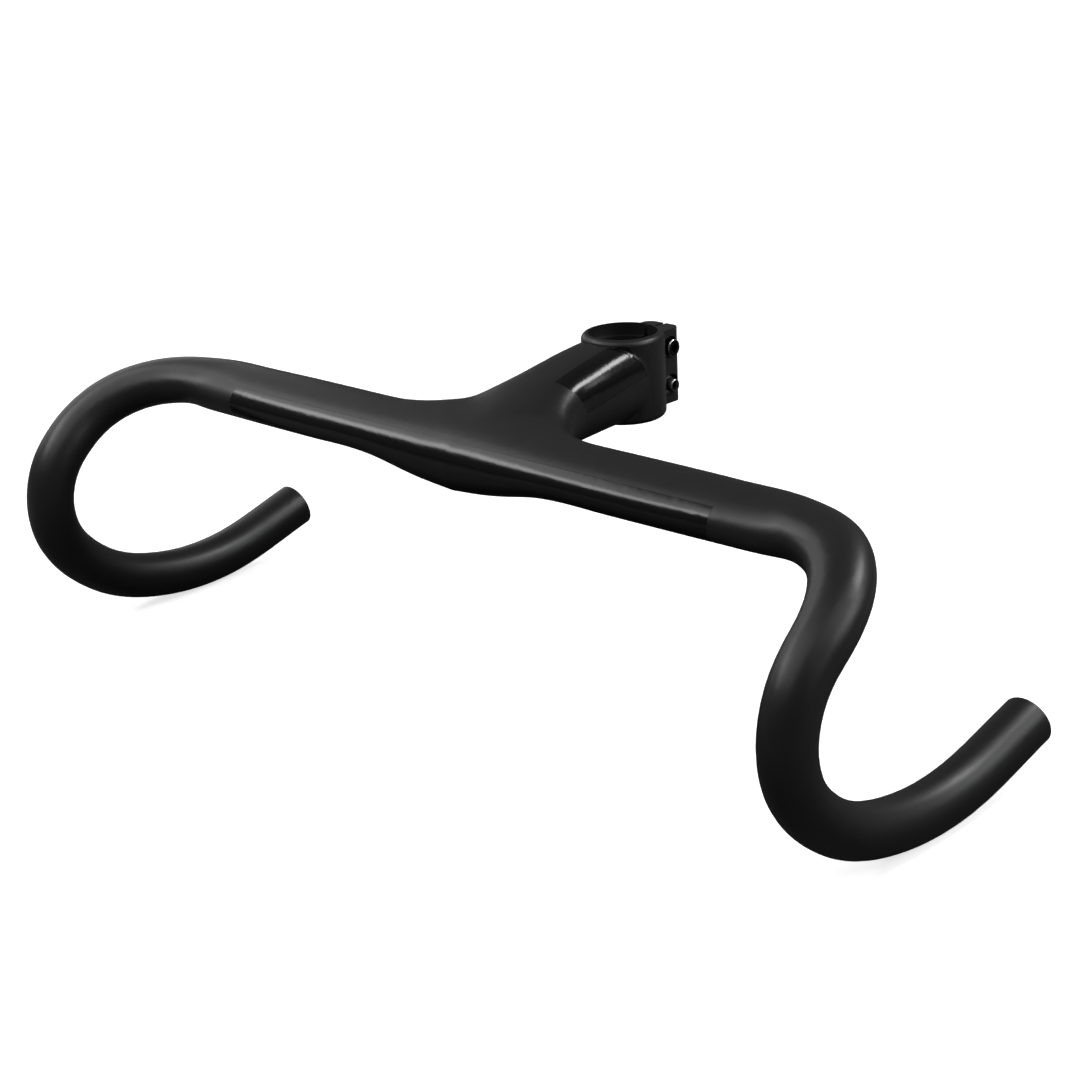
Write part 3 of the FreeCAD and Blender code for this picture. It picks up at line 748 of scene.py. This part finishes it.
@dataclass
class PinchHardware:
    """The two bolts that close the clamp, from opposite sides, each with its washer and its sleeve nut.

    Args:
        bolts: The two bolts.
        edge_mm: Width of the broken edges of the washers and nuts.
    """

    bolts: tuple[PinchBolt, ...] = (PinchBolt("upper", -1), PinchBolt("lower", 1))
    edge_mm: float = 0.1

    def build(self) -> None:
        """Makes the pieces."""
        black = MetalFinish.BLACK_OXIDE.value.build()
        # Pale rubbed steel for the bolts' rims: partly wear and partly a painted highlight.
        worn_and_glint = MetalFinish.WORN_STEEL.value.build()
        zinc = MetalFinish.ZINC_PLATE.value.build()
        for bolt in self.bolts:
            bolt.build(black, worn_and_glint)
            for kind in ("washer", "nut"):
                node = f"pinch_{kind}_{bolt.level}"
                piece = merged_copy(node, f"{kind}_{bolt.level}")
                soften(piece, self.edge_mm)
                finished(piece, node, "plain_steel", zinc)


@dataclass
class NoseCover:
    """The plate under the nose, its two screws and the threaded sleeves behind them.

    Args:
        sides: Names of the two screws' places.
        plate_edge_mm: Radius of the moulded plate's edges.
        metal_edge_mm: Width of the broken edges of the screws and sleeves.
    """

    sides: tuple[str, ...] = ("left", "right")
    plate_edge_mm: float = 0.35
    metal_edge_mm: float = 0.08

    def build(self) -> None:
        """Makes the pieces."""
        plate = merged_copy("mount_cover", "cover_plate")
        soften(plate, self.plate_edge_mm)
        finished(plate, "mount_cover", "cover_plastic", MouldedPlastic().build())
        black = MetalFinish.BLACK_OXIDE.value.build()
        bare = MetalFinish.TURNED_ALUMINIUM.value.build()
        for side in self.sides:
            kinds = (("screw", "black_steel", black), ("insert", "bare_aluminium", bare))
            for kind, slot, material in kinds:
                node = f"cover_{kind}_{side}"
                piece = merged_copy(node, f"nose_{kind}_{side}")
                soften(piece, self.metal_edge_mm)
                finished(piece, node, slot, material)


@dataclass(frozen=True)
class Softbox:
    """A rectangular soft lamp that faces the object.

    Args:
        name: The lamp's name.
        azimuth: Degrees from +X towards +Y of its place.
        elevation: Degrees above the floor.
        distance: How far it stands from the object's middle.
        wide: Its width.
        tall: Its height.
        power: Its power in watts.
    """

    name: str
    azimuth: float
    elevation: float
    distance: float
    wide: float
    tall: float
    power: float

    def build(self, middle: Vector) -> None:
        """Hangs the lamp.

        Args:
            middle: The point that it faces.
        """
        turn, rise = radians(self.azimuth), radians(self.elevation)
        way = Vector((cos(turn) * cos(rise), sin(turn) * cos(rise), sin(rise)))
        lamp = bpy.data.lights.new(self.name, "AREA")
        lamp.shape = "RECTANGLE"
        lamp.size = self.wide
        lamp.size_y = self.tall
        lamp.energy = self.power
        item = bpy.data.objects.new(self.name, lamp)
        item.location = middle + way * self.distance
        item.rotation_euler = (-way).to_track_quat("-Z", "Y").to_euler()
        item.visible_camera = False
        bpy.context.scene.collection.objects.link(item)


@dataclass
class Studio:
    """The floor, the backdrop, the lamps and the camera.

    Args:
        lamps: The softboxes.
        middle: What the lamps face.
        camera_target: The point in the middle of the picture.
        camera_azimuth: Degrees that the camera stands round from the rear, by way of the rider's right.
        camera_elevation: Degrees that it stands above the target.
        camera_roll: Degrees that it is turned about its own axis.
        camera_distance: How far it stands from the target.
        focal_share: Focal length as a share of the picture's width.
        sensor_mm: Width of the camera's sensor.
        clip: The nearest and the furthest distance that the camera sees.
        floor_reach: Half the floor's width.
        floor_colour: The floor's colour.
        bounce_near: The colour with which the floor lights the object from right under it: a painted
            shadow, dark where the object's shade falls.
        bounce_far: The same from further off: the photograph's lacquer mirrors a floor that is dark
            under the object and grows paler around it.
        bounce_reach: Distances from the origin between which that colour changes.
        floor_glow: Strength added to the floor where the camera sees it, under the object and far off.
        glow_reach: Distances from the origin between which that strength grows.
        ambient: Strength of the even light all round.
    """

    lamps: tuple[Softbox, ...] = (
        Softbox("front_right_wide", 18, 44, 1.3, 1.3, 0.5, 4.0),
        Softbox("front_right_core", 36, 37, 1.3, 0.9, 0.22, 3.1),
        Softbox("rear_left_key", 236, 44, 1.3, 0.5, 0.24, 5.8),
        Softbox("rear_left_soft", 204, 28, 1.35, 0.9, 0.45, 5.0),
        Softbox("front_fill", 80, 55, 1.4, 1.2, 1.0, 5.8),
        Softbox("left_high", 180, 55, 1.4, 0.8, 0.8, 2.4),
        Softbox("right_low", 350, 14, 1.4, 1.2, 0.3, 1.6),
    )
    middle: Vector = Vector((0.0, 0.08, 0.0))
    camera_target: Vector = Vector((-0.00488, 0.06834, -0.04415))
    camera_azimuth: float = 224.465
    camera_elevation: float = 19.692
    camera_roll: float = -2.636
    camera_distance: float = 1.08843
    focal_share: float = 2.1302
    sensor_mm: float = 36.0
    clip: tuple[float, float] = (0.01, 100.0)
    floor_reach: float = 8.0
    floor_colour: str = "e4e4e4"
    # A painted shadow that only rays other than the camera's see: dark right under the object.
    bounce_near: str = "262626"
    bounce_far: str = "808080"
    bounce_reach: tuple[float, float] = (0.15, 0.6)
    floor_glow: tuple[float, float] = (0.7, 1.0)
    glow_reach: tuple[float, float] = (0.5, 1.5)
    ambient: float = 0.12

    def build(self) -> None:
        """Builds the studio."""
        self.floor()
        self.backdrop()
        for lamp in self.lamps:
            lamp.build(self.middle)
        self.camera()
        log.info("studio built")

    def floor(self) -> None:
        """Lays a pale floor under the lowest point of the drops."""
        lowest = min(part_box(node)[0].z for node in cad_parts)
        bpy.ops.object.select_all(action="DESELECT")
        bpy.ops.mesh.primitive_plane_add(size=2 * self.floor_reach, location=(0.0, 0.0, lowest))
        floor = bpy.context.object
        floor.name = "floor"
        material = bpy.data.materials.new("painted_floor")
        material.use_nodes = True
        tree = material.node_tree
        tree.nodes.clear()
        seen = add(tree, "ShaderNodeLightPath").outputs["Is Camera Ray"]
        place = add(tree, "ShaderNodeTexCoord").outputs["Object"]
        far = add(tree, "ShaderNodeVectorMath", {0: place}, operation="LENGTH").outputs["Value"]
        glow = combined(tree, "MULTIPLY", seen, ranged(tree, far, *self.floor_glow, self.glow_reach))
        # Rays other than the camera's see a painted shadow: dark right under the object and paler further
        # off.
        outwards = ranged(tree, far, 0.0, 1.0, self.bounce_reach)
        bounce = blended(tree, outwards, self.bounce_near, self.bounce_far)
        colour = blended(tree, seen, bounce, self.floor_colour)
        paint = add(tree, "ShaderNodeBsdfDiffuse", {"Color": colour}).outputs[0]
        lit = add(tree, "ShaderNodeEmission", {"Strength": glow}).outputs[0]
        both = add(tree, "ShaderNodeAddShader", {0: paint, 1: lit}).outputs[0]
        add(tree, "ShaderNodeOutputMaterial", {"Surface": both})
        floor.data.materials.append(material)

    def backdrop(self) -> None:
        """Makes the surroundings an even pale light that the camera sees as white."""
        world = bpy.data.worlds.new("studio_air")
        bpy.context.scene.world = world
        world.use_nodes = True
        tree = world.node_tree
        tree.nodes.clear()
        seen = add(tree, "ShaderNodeLightPath").outputs["Is Camera Ray"]
        strength = ranged(tree, seen, self.ambient, 1.0)
        glow = add(tree, "ShaderNodeBackground", {"Color": (1.0, 1.0, 1.0, 1.0), "Strength": strength})
        add(tree, "ShaderNodeOutputWorld", {"Surface": glow.outputs[0]})

    def camera(self) -> None:
        """Stands the camera where the photograph was taken from."""
        turn, rise, roll = (
            radians(angle) for angle in (self.camera_azimuth, self.camera_elevation, self.camera_roll)
        )
        back = Vector((sin(turn) * cos(rise), -cos(turn) * cos(rise), sin(rise)))
        level = (-back).cross(Vector((0.0, 0.0, 1.0))).normalized()
        upright = level.cross(-back)
        right = level * cos(roll) + upright * sin(roll)
        up = upright * cos(roll) - level * sin(roll)
        lens = bpy.data.cameras.new("camera")
        lens.sensor_width = self.sensor_mm
        lens.lens = self.sensor_mm * self.focal_share
        lens.clip_start, lens.clip_end = self.clip
        camera = bpy.data.objects.new("camera", lens)
        place = Matrix.Translation(self.camera_target + back * self.camera_distance)
        camera.matrix_world = place @ Matrix((right, up, back)).transposed().to_4x4()
        bpy.context.scene.collection.objects.link(camera)
        bpy.context.scene.camera = camera


def main() -> None:
    """Builds the classes in order."""
    logging.basicConfig(level=logging.INFO, format="%(name)s: %(message)s")
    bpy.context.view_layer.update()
    for assembly in (Studio(), Moulding(), PinchHardware(), NoseCover()):
        assembly.build()
    bpy.context.scene.view_settings.view_transform = "Standard"


if __name__ == "__main__":
    main()
